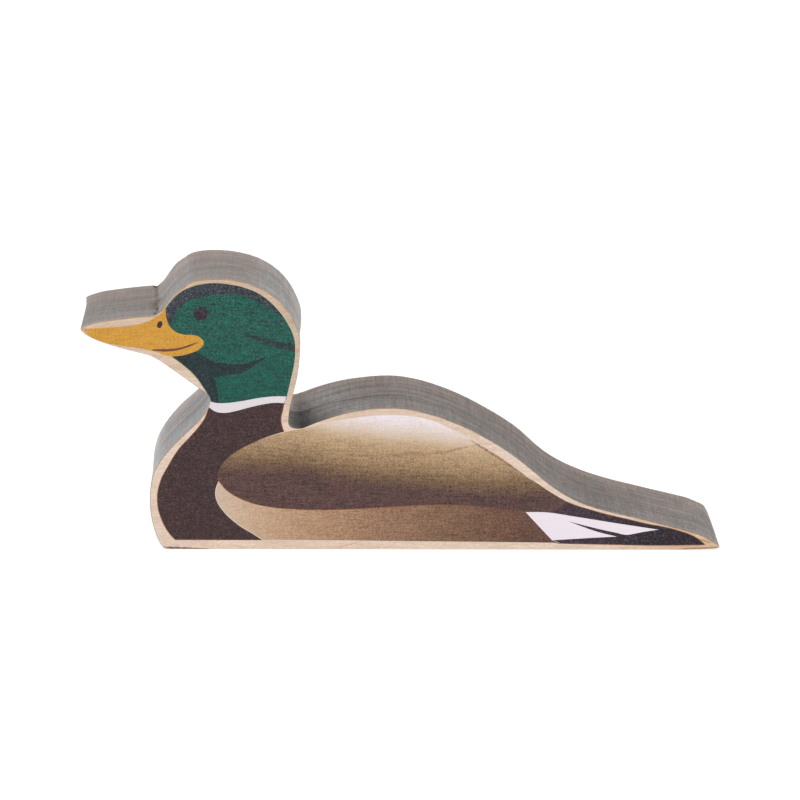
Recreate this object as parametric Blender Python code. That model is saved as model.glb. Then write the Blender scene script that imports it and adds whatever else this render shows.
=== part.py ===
"""A flat wooden mallard that stands on its base edge: two boards of one outline, glued back to back.

Metres, +Z up. The bill points to -X, the printed front board faces -Y, and the origin lies at the
middle of the base.
"""

from math import cos, pi, radians, sin

import bpy

MM = 0.001

BOARD_THICKNESS = 9.5 * MM
GLUE_GAP = 0.3 * MM
ARC_STEPS = 16

WOOD_COLOUR = (0.72, 0.56, 0.41, 1.0)
WOOD_ROUGHNESS = 0.55

# The outline runs clockwise as seen from the front, from the bill over the head to the tail, and
# back along the base. Each knot: what it is, its x and z in millimetres, the heading of the line
# through it in degrees, and the reach of its curve before it and after it in millimetres.
OUTLINE = (
    ("bill tip", -76.0, 57.0, 90, 0.5, 0.5),
    ("bill ridge", -70.8, 58.9, 9, 1.7, 10.0),
    ("bill root", -58.8, 60.6, 20, 1.8, 2.2),
    ("brow", -52.2, 67.4, 35, 4.5, 0.5),
    ("crown", -44.6, 69.5, 0, 6.2, 14.9),
    ("nape", -25.5, 53.9, -90, 3.8, 11.3),
    ("neck root", -28.1, 33.7, -90, 6.0, 2.3),
    ("shoulder", -24.6, 32.2, 14, 0.5, 0.5),
    ("back", -4.1, 37.3, 0, 11.1, 9.8),
    ("rump", 29.9, 21.1, -43, 13.3, 16.9),
    ("tail ridge", 69.8, 4.5, -17, 25.6, 2.4),
    ("tail tip", 76.0, 0.7, -90, 0.5, 0.6),
    ("base end", 63.7, 0.0, 180, 0.5, 0.0),
    ("base front", -57.1, 0.0, 180, 0.0, 1.7),
    ("chest", -60.8, 11.6, 90, 4.2, 7.6),
    ("breast", -51.4, 31.4, 45, 12.5, 1.7),
    ("throat", -46.4, 39.0, 90, 2.6, 1.6),
    ("chin", -48.4, 41.7, 142, 0.7, 14.2),
    ("jaw", -62.7, 51.1, 166, 3.9, 12.8),
)


def clear_scene():
    for thing in list(bpy.data.objects):
        bpy.data.objects.remove(thing, do_unlink=True)


def wood():
    material = bpy.data.materials.new("maple")
    material.use_nodes = True
    shader = material.node_tree.nodes["Principled BSDF"]
    shader.inputs["Base Color"].default_value = WOOD_COLOUR
    shader.inputs["Roughness"].default_value = WOOD_ROUGHNESS
    shader.inputs["Metallic"].default_value = 0.0
    return material


def set_outline(spline):
    """Lays the knots of OUTLINE along a closed Bezier spline."""
    spline.bezier_points.add(len(OUTLINE) - 1)
    for point, (_, x, z, heading, before, after) in zip(spline.bezier_points, OUTLINE):
        along = (cos(radians(heading)), sin(radians(heading)))
        point.handle_left_type = "FREE"
        point.handle_right_type = "FREE"
        point.co = (x * MM, z * MM, 0)
        point.handle_left = ((x - before * along[0]) * MM, (z - before * along[1]) * MM, 0)
        point.handle_right = ((x + after * along[0]) * MM, (z + after * along[1]) * MM, 0)
    spline.use_cyclic_u = True
    spline.resolution_u = ARC_STEPS


def board(name, middle_y, material, collection):
    """One board: the outline as a flat curve, stood upright and given the board's thickness."""
    curve = bpy.data.curves.new(name + "_outline", "CURVE")
    curve.dimensions = "2D"
    curve.fill_mode = "BOTH"
    curve.extrude = BOARD_THICKNESS / 2
    curve.resolution_u = ARC_STEPS
    set_outline(curve.splines.new("BEZIER"))
    curve.materials.append(material)
    piece = bpy.data.objects.new(name, curve)
    piece.rotation_euler = (pi / 2, 0, 0)
    piece.location = (0, middle_y, 0)
    collection.objects.link(piece)
    return piece


def main():
    clear_scene()
    collection = bpy.data.collections.new("mallard_cut_out")
    bpy.context.scene.collection.children.link(collection)
    material = wood()
    offset = (BOARD_THICKNESS + GLUE_GAP) / 2
    board("board_front", -offset, material, collection)
    board("board_back", offset, material, collection)


main()
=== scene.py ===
"""The looks of a printed wooden mallard: two maple boards of one outline, glued back to back.

The cut edge is scorched grey, a narrow rim of bare wood runs round each face, and the plumage is
printed inside the rim in thin films of ink, one for each colour. Metres, +Z up, bill towards -X.
"""

from collections import namedtuple
from functools import reduce
from math import radians

import bmesh
import bpy
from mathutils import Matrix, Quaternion, Vector
from mathutils.bvhtree import BVHTree


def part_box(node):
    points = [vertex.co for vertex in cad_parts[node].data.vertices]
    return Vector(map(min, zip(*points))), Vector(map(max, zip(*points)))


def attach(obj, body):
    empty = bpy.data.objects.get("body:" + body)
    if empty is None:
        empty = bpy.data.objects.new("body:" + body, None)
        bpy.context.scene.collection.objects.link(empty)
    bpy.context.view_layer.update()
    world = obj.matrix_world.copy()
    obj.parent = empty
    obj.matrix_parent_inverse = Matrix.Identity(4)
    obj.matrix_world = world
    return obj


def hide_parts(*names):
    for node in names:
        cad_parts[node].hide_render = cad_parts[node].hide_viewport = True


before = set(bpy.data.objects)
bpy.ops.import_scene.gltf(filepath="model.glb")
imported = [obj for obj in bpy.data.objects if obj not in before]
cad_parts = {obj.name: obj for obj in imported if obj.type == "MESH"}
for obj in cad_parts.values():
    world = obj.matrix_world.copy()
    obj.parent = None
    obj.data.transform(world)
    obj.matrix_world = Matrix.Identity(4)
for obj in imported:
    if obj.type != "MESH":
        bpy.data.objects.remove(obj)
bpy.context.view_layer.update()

MM = 0.001
BODY = "root"

FRONT_LOW, FRONT_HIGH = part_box("board_front")
BACK_LOW, BACK_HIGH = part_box("board_back")
HALF_THICKNESS = BACK_HIGH.y
GLUE_GAP = BACK_LOW.y - FRONT_HIGH.y
BILL_TIP = Vector((FRONT_LOW.x, 0, 57.0 * MM))
TAIL_TIP = Vector((FRONT_HIGH.x, 0, 0.7 * MM))

# Points closer than JOINED are one point, and a cut takes in the points within SNAP of it. A face
# whose normal is this much along the thickness is a flat one, and not part of the wall.
JOINED = 0.001 * MM
SNAP = 0.0001 * MM
FLAT = 0.9
SHARP_ANGLE = radians(35)

# The printed faces. Each film of ink starts as a thicker blank, and is then set on the wood, where
# it reaches from INK_ROOT below the face out to its own layer.
FACE_SETBACK = 0.10 * MM
FACE_Y = HALF_THICKNESS - FACE_SETBACK
INK_STEP = 0.02 * MM
INK_ROOT = 0.01 * MM
INK_MARGIN = 0.02 * MM
BLANK_THICKNESS = 1.0 * MM
CURVE_STEPS = 10
ROUND_SIDES = 40
CORNER = "corner"

# The cut edge, from the printed face inwards: depth below the face, and how far the wall stands
# back from the full outline. The corner is eased first, and then the cut widens with depth.
WALL = (
    (0.00 * MM, 0.12 * MM),
    (0.05 * MM, 0.04 * MM),
    (0.16 * MM, 0.00 * MM),
    (0.80 * MM, 0.00 * MM),
    (2.00 * MM, 0.02 * MM),
    (4.50 * MM, 0.06 * MM),
    (7.00 * MM, 0.10 * MM),
    (9.40 * MM, 0.14 * MM),
)
GLUE_SETBACK = 0.16 * MM

# The base, where the wall faces down this much, is squarer and takes only a share of that.
BASE_FACING = 0.9
BASE_SHARE = 0.35

# The bill's tip and the tail's tip are too finely rounded to lose as much.
TIPS = (BILL_TIP, TAIL_TIP)
TIP_REACH = 1.5 * MM
TIP_SHARE = 0.3

# The heat has eaten a shallow hollow into the bill's tip, deepest at this place in the thickness.
TIP_HOLLOW = 0.36 * MM
TIP_HOLLOW_REACH = 3.0 * MM
TIP_HOLLOW_DEEPEST = 5.0 * MM

# The beam turned at the bill's root: a crease in the wall, and a burnt nick at the back face.
ROOT = Vector((-58.5, 0, 60.6)) * MM
CREASE_REACH = 0.9 * MM
CREASE_CUT = 0.20 * MM
CREASE_START = 0.8 * MM
NICK = Vector((-59.2, 0, 60.2)) * MM
NICK_DEPTH = 1.3 * MM
NICK_CUT = 0.60 * MM

# The two boards were cut one at a time, and at its outer face the back one stands out from the front
# one a little. Each swell: what it is, its x and z and its reach in millimetres, the way it faces,
# and by how many millimetres it stands out, or in where negative.
RIGHT = Vector((1, 0, 0))
UP = Vector((0, 0, 1))
FORWARD = Vector((-0.94, 0, 0.34))
FORWARD_UP = Vector((-0.71, 0, 0.71))
SWELLS = (
    ("brow", -54.5, 65.7, 8.0, FORWARD, 0.55),
    ("crown", -39.5, 68.5, 12.0, UP, -0.25),
    ("nape", -25.2, 52.5, 6.0, RIGHT, 0.42),
    ("back of the neck", -25.0, 49.4, 3.5, RIGHT, 0.20),
    ("crook", -25.0, 32.8, 16.0, UP, 0.70),
    ("end of the crook", -27.2, 32.3, 2.3, UP, -0.60),
    ("back slope", 27.5, 23.5, 9.0, UP, 0.42),
    ("rump", 41.5, 13.2, 11.0, UP, 0.42),
    ("tail", 71.0, 4.0, 10.0, UP, 0.36),
    ("tail end", 74.3, 2.3, 3.2, UP, 0.44),
    ("tail tip", 76.0, 0.7, 1.9, RIGHT, -0.85),
    ("upper chest", -53.5, 29.5, 12.0, FORWARD_UP, 0.52),
)


# ---------------------------------------------------------------- small helpers

def clamp(value, low=0.0, high=1.0):
    return max(low, min(high, value))


def along(table, value):
    """Reads a table of (place, amount) rows at a place between them."""
    for (low, start), (high, end) in zip(table, table[1:]):
        if value <= high:
            return start + (end - start) * clamp((value - low) / (high - low))
    return table[-1][1]


def in_mm(place):
    """A place in metres as its x and z in millimetres."""
    return place.x / MM, place.z / MM


def rgb(red, green, blue):
    """A linear colour from the 0 to 255 values of a colour chart."""
    def linear(value):
        value = value / 255
        return value / 12.92 if value <= 0.04045 else ((value + 0.055) / 1.055) ** 2.4
    return linear(red), linear(green), linear(blue)


def mesh_object(name, form, finishes):
    """Turns a bmesh into an object at the origin, with its finishes in order."""
    mesh = bpy.data.meshes.new(name)
    form.to_mesh(mesh)
    form.free()
    for finish in finishes:
        mesh.materials.append(finish)
    piece = bpy.data.objects.new(name, mesh)
    bpy.context.scene.collection.objects.link(piece)
    return piece


# ---------------------------------------------------------------- node helpers

# Most of a noise lies within NOISE_SPAN, and its middle, for a stronger contrast, in NOISE_MIDDLE.
NO_TINT = (1.0, 1.0, 1.0)
NOISE_SPAN = (0.3, 0.7)
NOISE_MIDDLE = (0.36, 0.64)
BUMP_STRENGTH = 0.5

Spot = namedtuple("Spot", "place x y z")


def add(tree, kind, inputs=(), **settings):
    """Adds a shader node, sets its properties, and fills or links its inputs."""
    made = tree.nodes.new(kind)
    for key, value in settings.items():
        setattr(made, key, value)
    for key, value in dict(inputs).items():
        if isinstance(value, bpy.types.NodeSocket):
            tree.links.new(value, made.inputs[key])
        else:
            made.inputs[key].default_value = value
    return made


def calc(tree, operation, *values):
    """A Math node on one or two values or sockets."""
    return add(tree, "ShaderNodeMath", dict(enumerate(values)), operation=operation).outputs[0]


def product(tree, *values):
    """Multiplies values or sockets."""
    return reduce(lambda first, second: calc(tree, "MULTIPLY", first, second), values)


def total(tree, *values):
    """Adds up values or sockets."""
    return reduce(lambda first, second: calc(tree, "ADD", first, second), values)


def shares(tree, *parts):
    """Adds up parts, each a value and its share."""
    return total(tree, *(product(tree, value, share) for value, share in parts))


def rest(tree, value):
    """What a value leaves of 1."""
    return calc(tree, "SUBTRACT", 1, value)


def rescale(tree, value, low, high, to_low=0.0, to_high=1.0, smooth=False):
    """Maps a value from one range to another, and holds it within that."""
    made = add(
        tree,
        "ShaderNodeMapRange",
        {"Value": value, "From Min": low, "From Max": high, "To Min": to_low, "To Max": to_high},
        interpolation_type="SMOOTHSTEP" if smooth else "LINEAR",
    )
    return made.outputs["Result"]


def zone(tree, *slopes):
    """How far a point is into a zone.

    Each slope is a value, and where in it the zone starts and is full. It may end with the zone's
    amounts at these two, in place of 0 and 1.
    """
    return product(tree, *(rescale(tree, *slope) for slope in slopes))


def position(tree):
    """The Object coordinates in millimetres: the place as a vector, and its x, y and z."""
    coords = add(tree, "ShaderNodeTexCoord").outputs["Object"]
    scaled = add(tree, "ShaderNodeVectorMath", {0: coords, "Scale": 1 / MM}, operation="SCALE")
    split = add(tree, "ShaderNodeSeparateXYZ", {0: scaled.outputs[0]})
    return Spot(scaled.outputs[0], *split.outputs)


def distance(tree, at, centre):
    """How far a point is from a centre (x, z), all in millimetres, seen from the side."""
    off_x = calc(tree, "SUBTRACT", at.x, centre[0])
    off_z = calc(tree, "SUBTRACT", at.z, centre[1])
    return calc(tree, "SQRT", total(tree, product(tree, off_x, off_x), product(tree, off_z, off_z)))


def facing(tree, way):
    """How far the surface faces a way."""
    normal = add(tree, "ShaderNodeNewGeometry").outputs["Normal"]
    return add(tree, "ShaderNodeVectorMath", {0: normal, 1: way}, operation="DOT_PRODUCT").outputs["Value"]


def noise(tree, at, stretch, detail=2.0, roughness=0.5, shift=(0, 0, 0)):
    """A noise with features about 1/stretch millimetres long on each axis."""
    mapped = add(tree, "ShaderNodeMapping", {"Vector": at.place, "Scale": stretch, "Location": shift})
    made = add(
        tree,
        "ShaderNodeTexNoise",
        {"Vector": mapped.outputs[0], "Scale": 1.0, "Detail": detail, "Roughness": roughness},
    )
    return made.outputs["Fac"]


def ramp(tree, factor, stops):
    """A colour ramp from (place, colour) stops."""
    made = add(tree, "ShaderNodeValToRGB", {"Fac": factor})
    elements = made.color_ramp.elements
    while len(elements) < len(stops):
        elements.new(0.5)
    for element, (place, colour) in zip(elements, stops):
        element.position = place
        element.color = (*colour, 1.0)
    return made.outputs["Color"]


def ramp_rows(tree, value, rows):
    """A ramp through (place, colour) rows whose places are in the value's own units."""
    low, high = rows[0][0], rows[-1][0]
    stops = [((place - low) / (high - low), colour) for place, colour in rows]
    return ramp(tree, rescale(tree, value, low, high), stops)


def colour_rows(tree, value, rows):
    """Reads a colour between (place, chart colour) rows."""
    return ramp_rows(tree, value, [(place, rgb(*colour)) for place, colour in rows])


def amount_rows(tree, value, rows):
    """Reads an amount between (place, amount) rows."""
    most = max(amount for _, amount in rows)
    greys = [(place, (amount / most,) * 3) for place, amount in rows]
    return product(tree, ramp_rows(tree, value, greys), most)


def mix(tree, factor, first, second, blend="MIX"):
    """Mixes two colours or, as MULTIPLY, tints the first by the second, as far as the factor goes."""
    made = add(tree, "ShaderNodeMix", data_type="RGBA", blend_type=blend)
    for socket, value in zip((made.inputs[0], made.inputs[6], made.inputs[7]), (factor, first, second)):
        if isinstance(value, bpy.types.NodeSocket):
            tree.links.new(value, socket)
        else:
            socket.default_value = value if isinstance(value, float) else (*value[:3], 1.0)
    return made.outputs[2]


def shade(tree, colour, amount):
    """Multiplies a colour by an amount, which may vary."""
    made = add(tree, "ShaderNodeVectorMath", {0: colour, "Scale": amount}, operation="SCALE")
    return made.outputs[0]


def brightness(tree, colour):
    """How light a colour is."""
    return add(tree, "ShaderNodeRGBToBW", {0: colour}).outputs[0]


def bump(tree, height, depth):
    """The normal of a surface that rises and falls with a height, by up to a depth."""
    made = add(
        tree, "ShaderNodeBump", {"Height": height, "Distance": depth, "Strength": BUMP_STRENGTH}
    )
    return made.outputs["Normal"]


def new_finish(name, roughness, gloss):
    """A new material, with its tree and its shader."""
    material = bpy.data.materials.new(name)
    material.use_nodes = True
    shader = material.node_tree.nodes["Principled BSDF"]
    shader.inputs["Roughness"].default_value = roughness
    shader.inputs["Specular IOR Level"].default_value = gloss
    return material, material.node_tree, shader


def dress(tree, shader, colour, normal):
    """Gives the shader its colour and its normal."""
    tree.links.new(colour, shader.inputs["Base Color"])
    tree.links.new(normal, shader.inputs["Normal"])


# ---------------------------------------------------------------- growth lines

# A streak crumbles along its borders, within this share of its half width, and fades out over these
# stretches at its borders (in half widths) and at its two ends (in millimetres).
CRUMBLE = 0.5
STREAK_BORDER = (1.25, 0.55)
STREAK_HEAD = (-0.5, 1.5)
STREAK_FOOT = (0.6, -0.4)


def streak(tree, at, start, end, widths):
    """Where a growth line shows: 1 on a line from start to end, crumbled along its borders."""
    run = rescale(tree, at.x, start[0], end[0])
    line = rescale(tree, run, 0, 1, start[1], end[1])
    half = rescale(tree, run, 0, 1, widths[0] / 2, widths[1] / 2)
    crumbs = noise(tree, at, (1.2, 2.0, 3.0), shift=(1, 8, 2))
    off_line = calc(tree, "ABSOLUTE", calc(tree, "SUBTRACT", at.z, line))
    off_line = calc(tree, "DIVIDE", off_line, half)
    off_line = total(tree, off_line, rescale(tree, crumbs, *NOISE_SPAN, -CRUMBLE, CRUMBLE))
    body = rescale(tree, off_line, *STREAK_BORDER, smooth=True)
    head = rescale(tree, at.x, *(start[0] + off for off in STREAK_HEAD))
    foot = rescale(tree, at.x, *(end[0] + off for off in STREAK_FOOT))
    return product(tree, body, product(tree, head, foot))


def add_streaks(tree, at, colour, streaks):
    """Lays streaks over a colour: each is start, end, widths, its own colour and its strength."""
    for start, end, widths, tint, strength in streaks:
        mask = streak(tree, at, start, end, widths)
        colour = mix(tree, product(tree, mask, strength), colour, tint)
    return colour


# ---------------------------------------------------------------- bare wood

# Places in the finishes are in millimetres: x from the bill to the tail, y from the front face to
# the back, and z upwards.
WING_BORDER = ((14.7, 29.15), (25.2, 22.0), (0.50, 0.42), rgb(124, 80, 58), 0.75)
RIM_STREAKS = (
    ((-28.6, 58.8), (-26.3, 59.2), (0.5, 0.5), rgb(190, 132, 92), 0.8),
    ((-27.4, 52.1), (-25.2, 51.8), (1.1, 0.8), rgb(196, 140, 104), 0.8),
    ((-29.6, 38.4), (-27.6, 38.0), (0.3, 0.3), rgb(196, 146, 112), 0.6),
    ((-59.3, 15.9), (-58.3, 15.4), (0.3, 0.2), rgb(188, 138, 106), 0.6),
    ((-16.5, 0.5), (-10.4, 2.1), (0.3, 0.25), rgb(184, 128, 108), 0.6),
    ((-42.2, 1.3), (-38.0, 0.4), (0.25, 0.2), rgb(176, 148, 130), 0.6),
    ((-57.9, 0.44), (-47.0, 0.06), (0.74, 0.20), rgb(104, 72, 48), 0.90),
    ((67.0, 4.35), (69.3, 3.5), (0.30, 0.25), rgb(150, 104, 74), 0.7),
    ((70.4, 3.1), (73.6, 1.9), (0.35, 0.30), rgb(128, 88, 66), 0.7),
    WING_BORDER,
    ((66.0, 0.25), (75.6, 0.55), (0.35, 0.8), rgb(150, 108, 74), 0.8),
    ((-75.9, 57.05), (-74.9, 57.2), (0.9, 0.5), rgb(150, 114, 94), 0.7),
)
MAPLE_TONES = ((0.30, rgb(204, 179, 159)), (0.50, rgb(213, 191, 173)), (0.70, rgb(220, 201, 185)))
MAPLE_HUES = ((0.32, (1.00, 1.01, 1.08)), (0.68, (1.01, 0.99, 0.92)))
PORE_SHADES = (0.86, 1.13)
HEAT_UPWARDS = (0.83, 0.77, 0.69)
HEAT_AT_TAIL = (0.90, 0.82, 0.70)
NAPE_SHADE = (0.82, 0.84, 0.82)


def bare_maple():
    """Pale maple on the rim of each face, browned by heat, with a few flecks in its grain."""
    material, tree, shader = new_finish("bare_maple", roughness=0.6, gloss=0.3)
    at = position(tree)
    grain = noise(tree, at, (0.10, 1.2, 1.4), detail=3.0, roughness=0.6)
    pores = noise(tree, at, (1.0, 2.6, 2.8), roughness=0.7, shift=(7, 3, 1))
    hue = noise(tree, at, (0.9, 2.0, 2.0), shift=(3, 1, 8))
    colour = ramp(tree, grain, MAPLE_TONES)
    colour = shade(tree, colour, rescale(tree, pores, *NOISE_SPAN, *PORE_SHADES))
    upwards = zone(tree, (at.z, 25, 69))
    at_tail = zone(tree, (at.x, 46, 66))
    nape = zone(tree, (at.x, -33, -28), (at.z, 36, 42, 0.0, 0.75))
    colour = mix(tree, upwards, colour, HEAT_UPWARDS, "MULTIPLY")
    colour = mix(tree, at_tail, colour, HEAT_AT_TAIL, "MULTIPLY")
    colour = mix(tree, nape, colour, NAPE_SHADE, "MULTIPLY")
    colour = mix(tree, 1.0, colour, ramp(tree, hue, MAPLE_HUES), "MULTIPLY")
    colour = add_streaks(tree, at, colour, RIM_STREAKS)
    dress(tree, shader, colour, bump(tree, pores, 0.02 * MM))
    return material


# ---------------------------------------------------------------- scorched edge

# The tones of the edge, by y, and how light it is along the figure, by x.
EDGE_TONES = (
    (-9.65, (146, 132, 122)), (-9.2, (137, 130, 126)), (-8.5, (133, 128, 126)),
    (-4.0, (130, 124, 122)), (-2.3, (127, 121, 118)), (-1.7, (122, 115, 112)),
    (-1.1, (127, 121, 118)), (0.2, (136, 129, 126)), (1.2, (132, 125, 122)),
    (3.5, (130, 121, 118)), (7.0, (139, 129, 125)), (9.1, (144, 132, 126)),
    (9.65, (164, 142, 124)),
)
EDGE_LIGHT = ((-76.0, 1.20), (-36.0, 1.17), (-28.0, 1.04), (0.0, 0.98), (20.0, 0.84), (44.0, 0.85),
              (60.0, 0.98), (76.0, 1.04))
EDGE_WARMTH = ((0.35, (0.95, 1.01, 1.02)), (0.65, (1.07, 0.99, 0.94)))
EDGE_FLECKS = ((0.36, (0.93, 1.02, 1.00)), (0.64, (1.07, 0.98, 1.00)))

# Pale ash and painted side light lighten the chest, and the head where its wall faces the bill or
# the tail. Each row for the head: how far the wall faces the tail where the row starts and where it
# is full, and its tint.
CHEST_ASH_AND_LIGHT = (1.17, 1.27, 1.36)
LOW_CHEST_ASH_AND_LIGHT = (1.50, 1.66, 1.78)
HEAD_ASH_AND_SIDE_LIGHT = (
    (-0.30, -0.60, (1.07, 1.12, 1.17)),
    (0.30, 0.55, (1.13, 1.22, 1.28)),
    (0.85, 1.00, (1.45, 1.57, 1.60)),
)
# Pale ash and painted light round the crook of the back.
CROOK_ASH_AND_LIGHT = (1.14, 1.205, 1.245)

# Burnt places, as x and z: the crook of the back, a smudge beside it, and a golden spot at the bill's
# root. The crook's table is how much light its burn and painted shade leave, by distance from the crook.
CROOK = (-25.5, 32.5)
CROOK_BURN_AND_SHADE = ((0.0, 0.28), (1.5, 0.48), (2.6, 0.62), (3.6, 0.85), (4.8, 1.0))
SMUDGE = (-22.6, 33.1)
GOLDEN_SPOT = (-60.4, 59.9)
TOASTED = ((0.40, rgb(202, 158, 112)), (0.62, rgb(146, 108, 82)))
# Where the corner faces down it is darker: toast and painted shade.
UNDERSIDE_TOAST_AND_SHADE = rgb(92, 70, 58)
GOLDEN = rgb(206, 150, 92)
SINGED = rgb(108, 80, 64)
# Soot and painted shade along the crease at the bill's root.
CREASE_SOOT_AND_SHADE = rgb(58, 50, 47)
DARK_SOOT = rgb(50, 44, 42)
CHARRED = rgb(26, 23, 24)


def ash_and_side_light(tree, at, tone):
    """Pale ash and painted side light: lightens the chest, more so low down, and the head where it faces
    the bill or the tail.
    """
    tailward = facing(tree, (1, 0, 0))
    chest = zone(tree, (tailward, -0.45, -0.70), (at.z, 42, 38))
    low_chest = product(tree, chest, zone(tree, (at.z, 25.5, 20.0)))
    head = zone(tree, (at.z, 38, 44))
    ash_and_light = mix(tree, low_chest, mix(tree, chest, NO_TINT, CHEST_ASH_AND_LIGHT), LOW_CHEST_ASH_AND_LIGHT)
    for start, full, lift in HEAD_ASH_AND_SIDE_LIGHT:
        ash_and_light = mix(tree, product(tree, zone(tree, (tailward, start, full)), head), ash_and_light, lift)
    return mix(tree, 1.0, tone, ash_and_light, "MULTIPLY")


def burnt_root(tree, at, tone):
    """The line burnt in at the bill's root, soot with painted shade along the crease, which ends in a
    singed patch and crumbs of soot.
    """
    faces = (-FACE_Y / MM, FACE_Y / MM)
    (root_x, root_z), (nick_x, nick_z) = in_mm(ROOT), in_mm(NICK)
    near = distance(tree, at, (
        rescale(tree, at.y, *faces, root_x, nick_x),
        rescale(tree, at.y, *faces, root_z, nick_z),
    ))
    soot = noise(tree, at, (0.9, 0.5, 0.9), detail=3.0, roughness=0.7, shift=(6, 6, 6))
    # The line along the crease: soot and painted shade.
    line = zone(tree, (near, 0.8, 0.1), (soot, 0.35, 0.6, 0.12, 0.42))
    singed = zone(
        tree, (near, 2.0, 0.8), (at.y, -6.5, -4.5), (at.y, 1.5, -0.5), (soot, 0.42, 0.58, 0.05, 0.6)
    )
    crumbs = zone(tree, (near, 1.0, 0.4), (at.y, -4.5, -6.0), (soot, 0.48, 0.56, 0.0, 0.75))
    tone = mix(tree, line, tone, CREASE_SOOT_AND_SHADE)
    tone = mix(tree, singed, tone, SINGED)
    return mix(tree, crumbs, tone, DARK_SOOT)


def toasted_corners(tree, at, tone):
    """The patchy toasted corner at each face, browner and darker by toast and painted shade where it faces
    down, and the golden spot and charred nick at the back.
    """
    face = FACE_Y / MM
    patches = total(
        tree,
        noise(tree, at, (0.3, 0.3, 0.3), detail=3.0, roughness=0.7, shift=(3, 3, 3)),
        zone(tree, (at.x, -42, -56), (at.z, 38, 28, 0.0, 0.22)),
        zone(tree, (at.x, 58, 74, 0.0, 0.12)),
    )
    pale_slope = zone(tree, (at.x, 14, 22), (at.x, 54, 44, 0.0, 0.8))
    corner = zone(
        tree, (calc(tree, "ABSOLUTE", at.y), face - 0.19, face - 0.05), (patches, 0.35, 0.65, 0.6, 1.0)
    )
    # How far the corner faces down, for its toast and painted shade.
    toast_and_shade_below = zone(tree, (facing(tree, (0.5, 0, 1)), -0.15, -0.45, 0.0, 0.85))
    golden = zone(tree, (distance(tree, at, GOLDEN_SPOT), 1.2, 0.6), (at.y, 9.15, 9.30))
    nick = zone(tree, (distance(tree, at, in_mm(NICK)), 1.0, 0.6), (at.y, 8.1, 8.5))
    toast = mix(tree, toast_and_shade_below, ramp(tree, patches, TOASTED), UNDERSIDE_TOAST_AND_SHADE)
    tone = mix(tree, product(tree, corner, rest(tree, pale_slope)), tone, toast)
    tone = mix(tree, golden, tone, GOLDEN)
    return mix(tree, nick, tone, CHARRED)


def burnt_and_shaded_crook(tree, at, across, specks, tone):
    """The burn in the crook of the back, with painted shade, and what lies round it.

    Round it are pale ash with painted light, a band of painted light, a smudge at the front, and the
    dark joint of the boards, which is clearest here.
    """
    near = distance(tree, at, CROOK)
    # The burn in the crook, with painted shade.
    burn_and_shade = total(tree, amount_rows(tree, near, CROOK_BURN_AND_SHADE), rescale(tree, specks, *NOISE_SPAN, -0.08, 0.08))
    behind = total(tree, zone(tree, (at.y, -0.3, 0.6, 0.0, 0.65)), zone(tree, (at.y, 2, 6, 0.0, 0.35)))
    burn_and_shade = total(tree, burn_and_shade, product(tree, behind, rest(tree, burn_and_shade)))
    # A band of painted light round the crook.
    painted_light_band = zone(
        tree, (near, 0.5, 2.0), (near, 13, 6), (at.y, -3.6, -2.2), (at.y, 7.5, 4.5, 0.10, 0.38)
    )
    smudge = zone(
        tree, (distance(tree, at, SMUDGE), 9, 2.2), (at.x, -26.2, -25.0), (at.y, -5, -9, 0.0, 0.62)
    )
    off_joint = calc(tree, "SUBTRACT", across, rescale(tree, at.x, -22, -13, -0.85, -1.9))
    joint = zone(tree, (calc(tree, "ABSOLUTE", off_joint), 0.65, 0.15), (near, 34, 14, 0.0, 0.27))
    tone = shade(tree, tone, burn_and_shade)
    tone = mix(tree, zone(tree, (near, 18, 8)), tone, CROOK_ASH_AND_LIGHT, "MULTIPLY")
    tone = shade(tree, tone, total(tree, 1, painted_light_band))
    tone = shade(tree, tone, rest(tree, smudge))
    return shade(tree, tone, rest(tree, joint))


def scorched_edge():
    """The grey laser-cut edge: lines along the boards, fine scores across them, burnt places, and painted
    light and shade.
    """
    material, tree, shader = new_finish("scorched_edge", roughness=0.75, gloss=0.25)
    at = position(tree)
    wander = noise(tree, at, (0.06, 0.02, 0.06))
    lines = noise(tree, at, (0.05, 0.75, 0.14), detail=4.0, roughness=0.65)
    scores = noise(tree, at, (2.4, 0.10, 2.4), roughness=0.6, shift=(5, 1, 5))
    specks = noise(tree, at, (1.7, 2.6, 1.7), roughness=0.7, shift=(9, 4, 9))
    warmth = noise(tree, at, (0.20, 0.9, 0.25), detail=3.0, roughness=0.7, shift=(2, 2, 7))
    flecks = noise(tree, at, (1.9, 1.9, 1.9), detail=1.0, shift=(4, 7, 7))
    relief = shares(tree, (lines, 0.4), (scores, 0.25), (specks, 0.35))
    depth = rescale(tree, at.x, -40, -24, 0.25, 0.42)
    swing = product(tree, rescale(tree, relief, *NOISE_MIDDLE, -1.0, 1.0), depth)

    across = total(tree, at.y, rescale(tree, wander, *NOISE_SPAN, -0.35, 0.35))
    tone = shade(tree, colour_rows(tree, across, EDGE_TONES), total(tree, 1, swing))
    tone = mix(tree, 1.0, tone, ramp(tree, warmth, EDGE_WARMTH), "MULTIPLY")
    tone = mix(tree, 1.0, tone, ramp(tree, flecks, EDGE_FLECKS), "MULTIPLY")
    tone = shade(tree, tone, amount_rows(tree, at.x, EDGE_LIGHT))
    tone = ash_and_side_light(tree, at, tone)
    tone = burnt_root(tree, at, tone)
    tone = toasted_corners(tree, at, tone)
    tone = burnt_and_shaded_crook(tree, at, across, specks, tone)
    dress(tree, shader, tone, bump(tree, relief, 0.06 * MM))
    return material


GLUE_TONES = ((0.3, rgb(106, 99, 96)), (0.7, rgb(130, 122, 118)))


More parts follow.
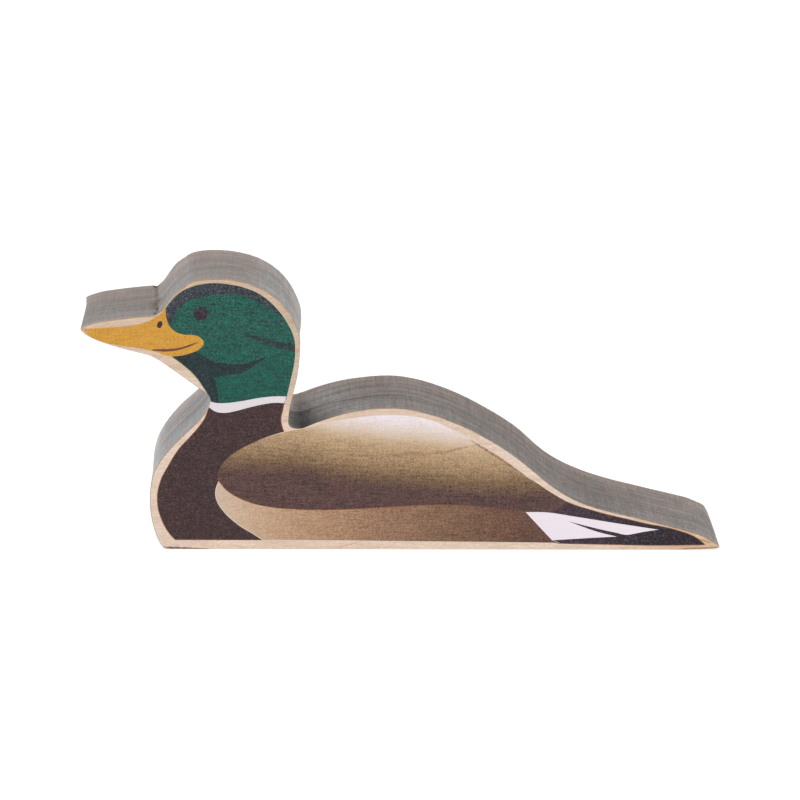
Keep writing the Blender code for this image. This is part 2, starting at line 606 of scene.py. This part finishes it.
def glue():
    """The glue between the boards, a thin line of the same grey as the edge."""
    material, tree, shader = new_finish("glue", roughness=0.6, gloss=0.3)
    at = position(tree)
    colour = ramp(tree, noise(tree, at, (0.15, 0.15, 0.15)), GLUE_TONES)
    # Darker near the crook, with the same burn and painted shade as the edge.
    colour = shade(tree, colour, amount_rows(tree, distance(tree, at, CROOK), CROOK_BURN_AND_SHADE))
    tree.links.new(colour, shader.inputs["Base Color"])
    return material


# ---------------------------------------------------------------- ink

# An ink varies with the grain: speckle, fibre and weave, in these shares. Its mottle shifts each
# channel of its colour this much between cool and warm specks. Dark inks vary more than pale ones.
SPECKLE_SHARE, FIBRE_SHARE, WEAVE_SHARE = 0.62, 0.24, 0.14
COOL_SHIFT = (-0.16, 0.05, 0.20)
WARM_SHIFT = (0.18, -0.05, -0.26)
DARK_TO_PALE = (0.05, 0.45)
VARIES = (1.0, 0.15)
MIDDLE_TO_PALE = (0.35, 0.70)
TINTED = (0.72, 0.15)
DOTS = (0.54, 0.72)
BARE_SPECK = rgb(204, 198, 200)
OLIVE = rgb(146, 142, 96)
PALE_OLIVE = rgb(188, 178, 156)
OCHRE_EDGE = rgb(136, 86, 52)
BROWN_EDGE = rgb(92, 64, 52)
DIM_EDGE = rgb(98, 76, 56)
RIM_WOOD = rgb(219, 196, 180)
TAIL_TONES = ((0.0, rgb(53, 37, 49)), (0.6, rgb(42, 27, 38)), (1.0, rgb(27, 13, 26)))

# The wing's colours by height above or below its waist, and the height of the waist by x.
WING_TONES = (
    (-4.0, (79, 54, 51)), (-2.0, (96, 71, 55)), (0.0, (118, 92, 66)), (2.0, (140, 113, 83)),
    (5.0, (162, 134, 102)), (7.5, (176, 149, 117)), (9.0, (190, 166, 139)), (10.0, (202, 179, 159)),
    (12.0, (212, 197, 190)), (14.5, (224, 213, 216)),
)
WING_WAIST = ((-44.0, 24.2), (-25.0, 24.0), (-18.0, 22.0), (-10.0, 21.0), (-4.0, 20.0),
              (3.0, 19.7), (10.0, 18.6), (17.0, 18.0), (38.0, 17.6))
FLANK_TONES = (
    (-44, (194, 170, 150)), (-37, (188, 158, 132)), (-28, (174, 141, 113)), (-19, (163, 129, 101)),
    (-10, (148, 113, 89)), (-1, (134, 101, 79)), (8, (123, 92, 70)), (17, (111, 79, 61)),
    (24, (102, 70, 54)), (30, (92, 62, 50)),
)
HEAD_STREAKS = (
    ((-35.5, 59.0), (-28.0, 58.9), (0.45, 0.7), rgb(34, 48, 52), 0.80),
    ((-38.4, 55.8), (-32.5, 54.0), (0.9, 1.8), rgb(28, 38, 44), 0.92),
    ((-33.0, 54.1), (-26.0, 52.2), (1.7, 2.0), rgb(30, 42, 48), 0.90),
)
WING_STREAKS = (
    ((-15.0, 25.3), (-2.0, 25.0), (0.6, 0.9), rgb(140, 96, 72), 0.35),
    ((-3.0, 25.0), (10.0, 26.0), (0.9, 0.6), rgb(144, 98, 74), 0.45),
    ((9.0, 26.0), (17.5, 28.2), (0.6, 0.5), rgb(150, 104, 78), 0.45),
    ((-14.0, 27.3), (-7.0, 27.8), (0.7, 0.7), rgb(150, 108, 80), 0.30),
    WING_BORDER,
)


def ink(name, paint, mottle, bare=0.0, streaks=(), worn_top=False):
    """A satin ink over wood: paint(tree, at), mottled by the grain it lies on.

    mottle is how strongly it varies, and bare is how much of the pale wood shows in its specks.
    With worn_top they show more towards the top of the head.
    """
    material, tree, shader = new_finish(name, roughness=0.55, gloss=0.3)
    at = position(tree)
    speckle = noise(tree, at, (3.2, 3.2, 3.2), roughness=0.8)
    fibre = noise(tree, at, (0.30, 1.8, 3.0), roughness=0.6, shift=(2, 5, 9))
    weave = noise(tree, at, (3.0, 1.8, 0.4), roughness=0.6, shift=(4, 1, 3))
    hue = noise(tree, at, (2.4, 2.4, 2.4), detail=1.0, shift=(8, 2, 6))
    dots = noise(tree, at, (3.6, 3.6, 3.0), detail=1.0, shift=(5, 9, 1))
    grain = shares(tree, (speckle, SPECKLE_SHARE), (fibre, FIBRE_SHARE), (weave, WEAVE_SHARE))

    colour = add_streaks(tree, at, paint(tree, at), streaks)
    depth = rescale(tree, brightness(tree, colour), *DARK_TO_PALE, *VARIES)
    swing = product(tree, rescale(tree, grain, *NOISE_MIDDLE, -mottle, mottle), depth)
    colour = shade(tree, colour, total(tree, 1, swing))
    tints = [tuple(1 + part * mottle for part in shift) for shift in (COOL_SHIFT, WARM_SHIFT)]
    tinted = mix(tree, 1.0, colour, ramp(tree, hue, list(zip(NOISE_MIDDLE, tints))), "MULTIPLY")
    share = rescale(tree, brightness(tree, colour), *MIDDLE_TO_PALE, *TINTED)
    colour = mix(tree, share, colour, tinted)
    specks = rescale(tree, dots, *DOTS, 0.0, bare)
    if worn_top:
        specks = product(tree, specks, rescale(tree, at.z, 42, 58, 0.2, 1.2))
    dress(tree, shader, mix(tree, specks, colour, BARE_SPECK), bump(tree, grain, 0.03 * MM))
    return material


def plain(*chart_colour):
    """Paint of one colour, for ink() to break up."""
    def paint(tree, at):
        return mix(tree, 0.0, rgb(*chart_colour), rgb(*chart_colour))
    return paint


def wing_paint(tree, at):
    """Tan and pale above a soft waist that sinks towards the tail, dark brown below it."""
    height = calc(tree, "SUBTRACT", at.z, amount_rows(tree, at.x, WING_WAIST))
    return colour_rows(tree, height, WING_TONES)


def flank_paint(tree, at):
    """Light tan by the breast, turning to brown towards the tail."""
    return colour_rows(tree, at.x, FLANK_TONES)


def tail_paint(tree, at):
    """Near black, and browner where it runs up beside the wing."""
    return ramp(tree, rescale(tree, at.x, 38, 58), TAIL_TONES)


def head_edge_paint(tree, at):
    """Olive at the brow and throat, and paler from the crown round to the nape."""
    return mix(tree, rescale(tree, at.x, -50, -42), OLIVE, PALE_OLIVE)


def wing_edge_paint(tree, at):
    """Ochre below the wing, brown towards the tail, and much like its neighbours higher up."""
    below = mix(tree, rescale(tree, at.x, 4, 24), OCHRE_EDGE, BROWN_EDGE)
    left = mix(tree, rescale(tree, at.z, 28.5, 31.5), DIM_EDGE, RIM_WOOD)
    above = mix(tree, rescale(tree, at.x, -10, 10), left, RIM_WOOD)
    return mix(tree, rescale(tree, at.z, 17.5, 19.5), below, above)


# ---------------------------------------------------------------- outlines of the print
# Points are x and z in millimetres, clockwise from the bill side. A line turns smoothly through
# each point, except where it is marked as a corner.

HEAD_TOP = (
    (-56.4, 62.2, CORNER), (-54.85, 64.35), (-52.9, 66.25), (-50.9, 67.35), (-48.0, 68.25),
    (-45.0, 68.55), (-42.0, 68.3), (-38.0, 67.35), (-34.5, 65.65), (-31.05, 62.45),
)
THROAT = ((-46.5, 38.2, CORNER), (-46.7, 40.0), (-48.0, 42.65), (-49.95, 45.6), (-52.75, 48.35))

HEAD = (
    *HEAD_TOP, (-28.2, 58.2), (-26.95, 55.0), (-26.65, 52.0), (-26.95, 48.0), (-27.75, 44.0),
    (-28.7, 39.4, CORNER), *THROAT, (-55.0, 50.2, CORNER), (-57.6, 52.6, CORNER),
    (-57.6, 58.6, CORNER),
)
CROWN = (
    *HEAD_TOP, (-29.2, 59.9, CORNER), (-31.0, 61.2), (-34.0, 63.25), (-37.0, 64.85), (-40.0, 65.75),
    (-44.0, 65.75), (-48.0, 65.1), (-51.0, 64.3), (-53.2, 62.4), (-54.8, 59.9), (-55.6, 57.6, CORNER),
    (-57.2, 59.2, CORNER),
)
CHEEK = (
    (-55.0, 50.2, CORNER), (-56.0, 51.6, CORNER), (-51.0, 52.2, CORNER), (-49.2, 51.2),
    (-47.3, 50.1), (-45.5, 49.1), (-42.0, 48.4), (-38.0, 48.7), (-35.5, 49.4),
    (-33.2, 50.3, CORNER), (-36.0, 48.1), (-38.9, 46.3), (-42.5, 45.5), (-45.4, 45.0, CORNER),
    (-45.0, 43.0), (-44.6, 41.0), (-44.3, 38.2, CORNER), *THROAT,
)
BILL = (
    (-75.2, 56.7, CORNER), (-74.3, 57.05), (-72.5, 57.2), (-70.0, 57.35), (-65.0, 57.8), (-61.5, 58.6),
    (-58.4, 60.2), (-56.4, 62.2, CORNER), (-56.3, 60.2), (-55.5, 57.8), (-53.9, 56.3),
    (-52.2, 55.75), (-50.0, 55.65), (-48.4, 54.9), (-47.75, 53.8), (-48.55, 52.35), (-50.55, 51.2),
    (-54.0, 50.35), (-56.0, 50.4), (-58.5, 51.3), (-62.0, 52.2), (-67.0, 52.95), (-70.0, 53.5),
    (-73.05, 54.6),
)
MOUTH = (
    (-59.7, 52.0, CORNER), (-58.0, 52.1), (-56.0, 52.12), (-54.0, 52.35), (-52.0, 52.9),
    (-50.2, 53.55), (-48.9, 53.9, CORNER), (-50.2, 53.2), (-52.0, 52.4), (-54.0, 51.8),
    (-56.0, 51.52), (-58.0, 51.58), (-59.6, 51.75, CORNER),
)
COLLAR = (
    (-46.5, 38.9, CORNER), (-45.0, 38.5), (-43.0, 38.45), (-39.0, 39.0), (-35.0, 39.8),
    (-31.0, 40.25), (-28.6, 40.2, CORNER), (-29.2, 38.5, CORNER), (-31.0, 38.6), (-33.5, 38.3),
    (-37.0, 37.45), (-41.0, 36.3), (-43.2, 35.95), (-45.2, 36.3), (-46.65, 37.35, CORNER),
)
BREAST = (
    (-46.6, 38.0, CORNER), (-29.1, 39.0, CORNER), (-29.6, 36.5), (-29.95, 34.5), (-29.7, 32.5),
    (-29.2, 31.0, CORNER), (-30.0, 2.55, CORNER), (-54.9, 2.6, CORNER), (-56.15, 4.1), (-57.9, 7.6),
    (-58.95, 12.5), (-58.3, 17.6), (-56.2, 22.2), (-53.7, 26.5), (-51.1, 29.6), (-49.1, 32.1),
    (-47.4, 34.9),
)
FLANK = (
    (-34.0, 2.55, CORNER), (-36.0, 4.0), (-40.1, 6.9), (-43.5, 10.5), (-45.0, 13.5),
    (-45.15, 15.6), (-44.4, 18.2, CORNER), (-38.0, 17.0, CORNER), (0.0, 14.0, CORNER),
    (31.0, 11.5, CORNER), (36.0, 6.0, CORNER), (35.3, 2.6, CORNER), (37.0, 1.9, CORNER),
    (20.0, 2.1), (0.0, 2.3), (-20.0, 2.5),
)
WING = (
    (-44.4, 18.2, CORNER), (-44.55, 19.8), (-43.85, 21.9), (-42.3, 24.1), (-39.8, 26.2),
    (-36.8, 27.95), (-32.9, 29.7), (-29.3, 30.9), (-26.5, 31.6), (-24.0, 32.1), (-20.0, 33.3),
    (-15.0, 34.3), (-10.0, 35.1), (-5.0, 35.5), (0.0, 35.3), (5.0, 34.3), (10.0, 32.0),
    (16.8, 28.2), (22.0, 24.7), (26.0, 21.6), (30.0, 18.4), (34.0, 15.45), (38.0, 12.95, CORNER),
    (36.2, 11.1), (34.0, 10.2, CORNER), (30.0, 10.25), (24.0, 11.0), (16.0, 11.8), (10.0, 12.12),
    (4.0, 11.95), (-5.0, 11.4), (-13.0, 10.9), (-20.0, 10.7), (-26.0, 10.85), (-32.0, 11.4),
    (-37.0, 12.6), (-41.0, 14.6), (-43.0, 16.3),
)
TAIL = (
    (33.0, 2.2, CORNER), (33.0, 11.0, CORNER), (38.0, 12.95, CORNER), (41.0, 11.7), (44.0, 10.75),
    (48.0, 9.5), (53.0, 8.25), (58.0, 6.95), (62.0, 6.15), (66.0, 5.05), (70.0, 3.3),
    (72.3, 1.45, CORNER), (60.0, 1.3), (50.0, 1.5), (40.0, 1.7), (37.0, 1.8, CORNER),
)
TAIL_WHITE = (
    (28.6, 10.15, CORNER), (33.5, 10.1), (40.0, 9.05), (50.0, 7.3), (60.8, 5.5, CORNER),
    (57.5, 4.95), (55.0, 4.4), (53.3, 4.1), (50.5, 4.7), (46.1, 5.75), (38.7, 7.8, CORNER),
    (46.1, 4.9), (50.9, 3.6, CORNER), (47.0, 3.4), (39.0, 2.85), (35.3, 2.6, CORNER),
)

# The two round marks, each with its centre, its radii and how far its top leans to the right.
EYE = ((-48.35, 61.0), (1.65, 1.65), 0.0)
NOSTRIL = ((-57.8, 58.25), (0.60, 0.88), 0.16)


# ---------------------------------------------------------------- making the pieces

def merged_board(node):
    """A board's solid with its triangles joined: two flat faces and a wall of four-sided strips."""
    form = bmesh.new()
    form.from_mesh(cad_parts[node].data)
    bmesh.ops.remove_doubles(form, verts=form.verts, dist=JOINED)
    form.normal_update()

    def on_flat(edge):
        return all(abs(face.normal.y) > FLAT for face in edge.link_faces)

    def on_strip(edge):
        start, end = (vert.co for vert in edge.verts)
        across = abs(start.y - end.y) > JOINED
        aslant = abs(start.x - end.x) + abs(start.z - end.z) > JOINED
        return across and aslant

    spare = [edge for edge in form.edges if on_flat(edge) or on_strip(edge)]
    bmesh.ops.dissolve_edges(form, edges=spare, use_verts=False)
    form.normal_update()
    return form


def wall_direction(vert):
    """The way straight out of the cut edge at a point of the wall."""
    out = Vector((0, 0, 0))
    for face in vert.link_faces:
        if abs(face.normal.y) < FLAT:
            out += face.normal
    return Vector((out.x, 0, out.z)).normalized()


def aside(point, place):
    """How far a point is from a place, seen from the side."""
    return Vector((point.x - place.x, 0, point.z - place.z)).length


def tip_share(point):
    """The share of a cut that a point takes: all of it, except close to the two tips."""
    nearest = min(aside(point, tip) for tip in TIPS)
    return TIP_SHARE + (1 - TIP_SHARE) * clamp(nearest / TIP_REACH)


def cut_back(form, setback):
    """Moves each point of the wall inwards by setback(point, outward)."""
    form.normal_update()
    outward = {vert: wall_direction(vert) for vert in form.verts}
    for vert, out in outward.items():
        vert.co -= out * setback(vert.co, out) * tip_share(vert.co)


def wall_setback(point, out):
    """How far the wall stands back here, by its depth below the face."""
    share = BASE_SHARE if out.z < -BASE_FACING else 1.0
    return share * along(WALL, FACE_Y - abs(point.y))


def swell(point, out):
    """How far the wall stands out here, growing from the joint to the back face."""
    stands_out = 0.0
    for _, x, z, reach, way, amount in SWELLS:
        near = 1 - clamp(aside(point, Vector((x, 0, z)) * MM) / (reach * MM))
        stands_out += amount * MM * near * clamp(out.dot(way))
    return stands_out * clamp(point.y / HALF_THICKNESS)


def crease(point, side):
    """The extra cut at the bill's root: a crease behind the face, and the nick at the back face."""
    depth = FACE_Y - abs(point.y)
    if side > 0 and depth < NICK_DEPTH:
        return NICK_CUT * (1 - clamp(aside(point, NICK) / CREASE_REACH))
    root = ROOT.lerp(NICK, clamp((point.y + FACE_Y) / (2 * FACE_Y)))
    return CREASE_CUT * clamp(depth / CREASE_START) * (1 - clamp(aside(point, root) / CREASE_REACH))


def hollow_tip(form):
    """Moves the bill's tip in by its hollow, which fades out at both faces."""
    profile = ((-HALF_THICKNESS, 0.0), (TIP_HOLLOW_DEEPEST, TIP_HOLLOW), (HALF_THICKNESS, 0.0))
    for vert in form.verts:
        near = 1 - clamp((vert.co.x - BILL_TIP.x) / TIP_HOLLOW_REACH)
        vert.co.x += along(profile, vert.co.y) * near * near


def make_board(name, node, side, finishes):
    """One board with its eased corner, its widening cut and its printed face set back a hair."""
    form = merged_board(node)
    for depth, _ in WALL[1:]:
        place = (0, side * (FACE_Y - depth), 0)
        geometry = [*form.verts, *form.edges, *form.faces]
        bmesh.ops.bisect_plane(form, geom=geometry, plane_co=place, plane_no=(0, 1, 0), dist=SNAP)
    for vert in form.verts:
        if abs(vert.co.y) > FACE_Y:
            vert.co.y = side * FACE_Y
    cut_back(form, lambda point, out: (
        wall_setback(point, out) + crease(point, side) - swell(point, out)
    ))
    hollow_tip(form)
    form.normal_update()
    for face in form.faces:
        face.smooth = abs(face.normal.y) < FLAT
        face.material_index = 0 if face.normal.y * side > FLAT else 1
    piece = mesh_object(name, form, finishes)
    piece.data.set_sharp_from_angle(angle=SHARP_ANGLE)
    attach(piece, BODY)
    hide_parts(node)
    return piece


def make_glue(name, finish):
    """The glue line fills the gap between the boards, a little back from their edges."""
    form = merged_board("board_front")
    middle = (FRONT_LOW.y + FRONT_HIGH.y) / 2
    for vert in form.verts:
        vert.co.y = GLUE_GAP / 2 if vert.co.y > middle else -GLUE_GAP / 2
    cut_back(form, lambda point, out: GLUE_SETBACK)
    hollow_tip(form)
    for face in form.faces:
        face.smooth = abs(face.normal.y) < FLAT
    piece = mesh_object(name, form, (finish,))
    piece.data.set_sharp_from_angle(angle=SHARP_ANGLE)
    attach(piece, BODY)
    return piece


def filled_outline(points):
    """A flat closed outline, filled and made a mesh, as a bmesh in the X-Z plane."""
    curve = bpy.data.curves.new("outline", "CURVE")
    curve.dimensions = "2D"
    curve.fill_mode = "BOTH"
    curve.extrude = BLANK_THICKNESS / 2
    curve.resolution_u = CURVE_STEPS
    spline = curve.splines.new("BEZIER")
    spline.bezier_points.add(len(points) - 1)
    for knot, point in zip(spline.bezier_points, points):
        knot.co = (point[0] * MM, point[1] * MM, 0)
        kind = "VECTOR" if CORNER in point else "AUTO"
        knot.handle_left_type = kind
        knot.handle_right_type = kind
    spline.use_cyclic_u = True
    drawn = bpy.data.objects.new("outline", curve)
    bpy.context.scene.collection.objects.link(drawn)
    mesh = bpy.data.meshes.new_from_object(drawn.evaluated_get(bpy.context.evaluated_depsgraph_get()))
    form = bmesh.new()
    form.from_mesh(mesh)
    bpy.data.objects.remove(drawn)
    bpy.data.curves.remove(curve)
    bpy.data.meshes.remove(mesh)
    for vert in form.verts:
        vert.co = (vert.co.x, vert.co.z, vert.co.y)
    return form


def round_outline(centre, radii, lean):
    """An oval of the same kind, its top set to the right by lean."""
    form = bmesh.new()
    bmesh.ops.create_cone(
        form, cap_ends=True, segments=ROUND_SIDES, radius1=1, radius2=1, depth=BLANK_THICKNESS
    )
    for vert in form.verts:
        x = vert.co.x * radii[0] + vert.co.y * lean
        z = vert.co.y * radii[1]
        vert.co = ((centre[0] + x) * MM, vert.co.z, (centre[1] + z) * MM)
    return form


def grow_outline(form, width):
    """Grows a filled outline outwards all round."""
    bmesh.ops.remove_doubles(form, verts=form.verts, dist=JOINED)
    bmesh.ops.recalc_face_normals(form, faces=form.faces)
    form.normal_update()
    outward = {vert: wall_direction(vert) for vert in form.verts}
    for vert, out in outward.items():
        vert.co += out * width
    return form


def printed_face(board, side):
    """The flat face of a board, a hair inside its corner, which the ink has to stay on."""
    form = bmesh.new()
    form.from_mesh(board.data)
    cut_back(form, lambda point, out: INK_MARGIN)
    spare = [face for face in form.faces if face.normal.y * side < FLAT]
    bmesh.ops.delete(form, geom=spare, context="FACES")
    wood = BVHTree.FromBMesh(form)
    form.free()
    return wood


def make_film(name, form, side, wood, layer, finish):
    """Lays a filled outline on a printed face, from the wood out to its layer."""
    bmesh.ops.remove_doubles(form, verts=form.verts, dist=JOINED)
    form.normal_update()
    inner = [edge for edge in form.edges if all(abs(face.normal.y) > FLAT for face in edge.link_faces)]
    bmesh.ops.dissolve_edges(form, edges=inner, use_verts=False)
    low, high = FACE_Y - INK_ROOT, FACE_Y + layer * INK_STEP
    for vert in form.verts:
        on_wood = wood.find_nearest(Vector((vert.co.x, side * FACE_Y, vert.co.z)))[0]
        vert.co = (on_wood.x, side * (high if vert.co.y > 0 else low), on_wood.z)
    bmesh.ops.remove_doubles(form, verts=form.verts, dist=JOINED)
    bmesh.ops.recalc_face_normals(form, faces=form.faces)
    piece = mesh_object(name, form, (finish,))
    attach(piece, BODY)
    return piece


# ---------------------------------------------------------------- the whole figure

maple = bare_maple()
edge = scorched_edge()
front = make_board("front_board", "board_front", -1, (maple, edge))
back = make_board("back_board", "board_back", 1, (maple, edge))
make_glue("glue_line", glue())

GREEN = ink("green_ink", plain(4, 76, 65), mottle=0.90, bare=0.075, streaks=HEAD_STREAKS, worn_top=True)
SLATE = ink("slate_ink", plain(40, 47, 57), mottle=1.15, bare=0.15)
DARK_GREEN = ink("dark_green_ink", plain(14, 37, 41), mottle=1.00, bare=0.06)
YELLOW = ink("yellow_ink", plain(194, 140, 45), mottle=0.62, bare=0.10)
LINE = ink("line_ink", plain(104, 60, 46), mottle=0.3)
WHITE = ink("white_ink", plain(226, 215, 223), mottle=0.25)
COLLAR_INK = ink("collar_ink", plain(212, 204, 209), mottle=0.35)
MAROON = ink("maroon_ink", plain(56, 33, 35), mottle=1.00, bare=0.07)
WING_INK = ink("wing_ink", wing_paint, mottle=0.92, bare=0.04, streaks=WING_STREAKS)
FLANK_INK = ink("flank_ink", flank_paint, mottle=0.82, bare=0.04)
TAIL_INK = ink("tail_ink", tail_paint, mottle=1.30, bare=0.10)
EYE_INK = ink("eye_ink", plain(36, 24, 40), mottle=1.10, bare=0.10)
NOSTRIL_INK = ink("nostril_ink", plain(56, 28, 42), mottle=0.8)
OCHRE = ink("ochre_ink", plain(136, 86, 52), mottle=0.4)
HEAD_EDGE = ink("head_edge_ink", head_edge_paint, mottle=0.4)
WING_EDGE = ink("wing_edge_ink", wing_edge_paint, mottle=0.4)
CREAM = ink("cream_ink", plain(206, 196, 182), mottle=0.3)

# Each film: its name, outline, layer, ink and slot.
FILMS = (
    ("head", HEAD, 1, GREEN, "ink_head"),
    ("breast", BREAST, 1, MAROON, "ink_breast"),
    ("tail", TAIL, 1, TAIL_INK, "ink_tail"),
    ("crown", CROWN, 2, SLATE, "ink_crown"),
    ("cheek", CHEEK, 2, DARK_GREEN, "ink_crown"),
    ("flank", FLANK, 2, FLANK_INK, "ink_flank"),
    ("bill", BILL, 3, YELLOW, "ink_bill"),
    ("collar", COLLAR, 3, COLLAR_INK, "ink_collar"),
    ("wing", WING, 3, WING_INK, "ink_wing"),
    ("tail_white", TAIL_WHITE, 4, WHITE, "ink_collar"),
    ("mouth", MOUTH, 4, LINE, "ink_eye"),
)

# The ink spreads in the grain, so that a hair of another colour shows round some fields. Each fringe
# lies just under its own film.
FRINGE = 0.18 * MM
FRINGES = (
    ("head", HEAD, 0.5, HEAD_EDGE, "ink_head"),
    ("breast", BREAST, 0.4, OCHRE, "ink_breast"),
    ("tail", TAIL, 0.6, OCHRE, "ink_tail"),
    ("flank", FLANK, 1.5, CREAM, "ink_flank"),
    ("wing", WING, 2.5, WING_EDGE, "ink_wing"),
)
ROUND_MARKS = (
    ("eye", EYE, 2, EYE_INK, "ink_eye"),
    ("nostril", NOSTRIL, 4, NOSTRIL_INK, "ink_eye"),
)
for side_name, side, board in (("front", -1, front), ("back", 1, back)):
    wood = printed_face(board, side)
    for name, points, layer, finish, slot in FILMS:
        make_film(f"{name}_{side_name}", filled_outline(points), side, wood, layer, finish)
    for name, points, layer, finish, slot in FRINGES:
        form = grow_outline(filled_outline(points), FRINGE)
        make_film(f"{name}_fringe_{side_name}", form, side, wood, layer, finish)
    for name, oval, layer, finish, slot in ROUND_MARKS:
        make_film(f"{name}_{side_name}", round_outline(*oval), side, wood, layer, finish)


# ---------------------------------------------------------------- floor, light and camera

CAMERA_PLACE = Vector((-30.2, -566.6, 293.6)) * MM
CAMERA_AIM = Vector((-2.1, -9.65, 39.47)) * MM
CAMERA_ROLL = radians(1.44)
CAMERA_LENS = 117.98
CAMERA_NEAR = 0.01
CAMERA_FAR = 20.0
FLOOR_SIZE = 6.0
FLOOR_GLOW = 0.56
FLOOR_SHADE = 0.60
STUDIO_LIGHT = 0.84
SOFTBOX_SIZE = (1.2, 1.0)
SOFTBOX_WATTS = 6.0
SOFTBOX_AIM = Vector((0, 0, 0.03))
SOFTBOXES = (
    ("left_softbox", Vector((-1.3, -0.5, 0.6))),
    ("right_softbox", Vector((1.3, -0.5, 0.6))),
)


def stand(name, thing, place, turn):
    """Puts a lamp or a camera in the scene, at a place and turned."""
    holder = bpy.data.objects.new(name, thing)
    holder.location = place
    holder.rotation_mode = "QUATERNION"
    holder.rotation_quaternion = turn
    bpy.context.scene.collection.objects.link(holder)
    return holder


def make_floor():
    """A wide pale floor, which glows a little to keep it white round the figure."""
    form = bmesh.new()
    bmesh.ops.create_grid(form, x_segments=1, y_segments=1, size=FLOOR_SIZE / 2)
    material, _, shader = new_finish("pale_floor", roughness=0.9, gloss=0.0)
    shader.inputs["Base Color"].default_value = (FLOOR_SHADE, FLOOR_SHADE, FLOOR_SHADE, 1.0)
    shader.inputs["Emission Color"].default_value = (1.0, 1.0, 1.0, 1.0)
    shader.inputs["Emission Strength"].default_value = FLOOR_GLOW
    floor = mesh_object("floor", form, (material,))


def make_light():
    """An even white room, and a softbox on either side."""
    world = bpy.data.worlds.new("studio")
    world.use_nodes = True
    background = world.node_tree.nodes["Background"]
    background.inputs["Color"].default_value = (1.0, 1.0, 1.0, 1.0)
    background.inputs["Strength"].default_value = STUDIO_LIGHT
    bpy.context.scene.world = world
    bpy.context.scene.view_settings.view_transform = "Standard"
    for name, place in SOFTBOXES:
        light = bpy.data.lights.new(name, "AREA")
        light.shape = "RECTANGLE"
        light.size, light.size_y = SOFTBOX_SIZE
        light.energy = SOFTBOX_WATTS
        stand(name, light, place, (SOFTBOX_AIM - place).to_track_quat("-Z", "Y"))


def make_camera():
    """The camera, aimed at the front face and rolled a little."""
    camera = bpy.data.cameras.new("camera")
    camera.lens = CAMERA_LENS
    camera.clip_start = CAMERA_NEAR
    camera.clip_end = CAMERA_FAR
    turn = (CAMERA_AIM - CAMERA_PLACE).to_track_quat("-Z", "Y") @ Quaternion((0, 0, 1), CAMERA_ROLL)
    bpy.context.scene.camera = stand("camera", camera, CAMERA_PLACE, turn)


make_floor()
make_light()
make_camera()
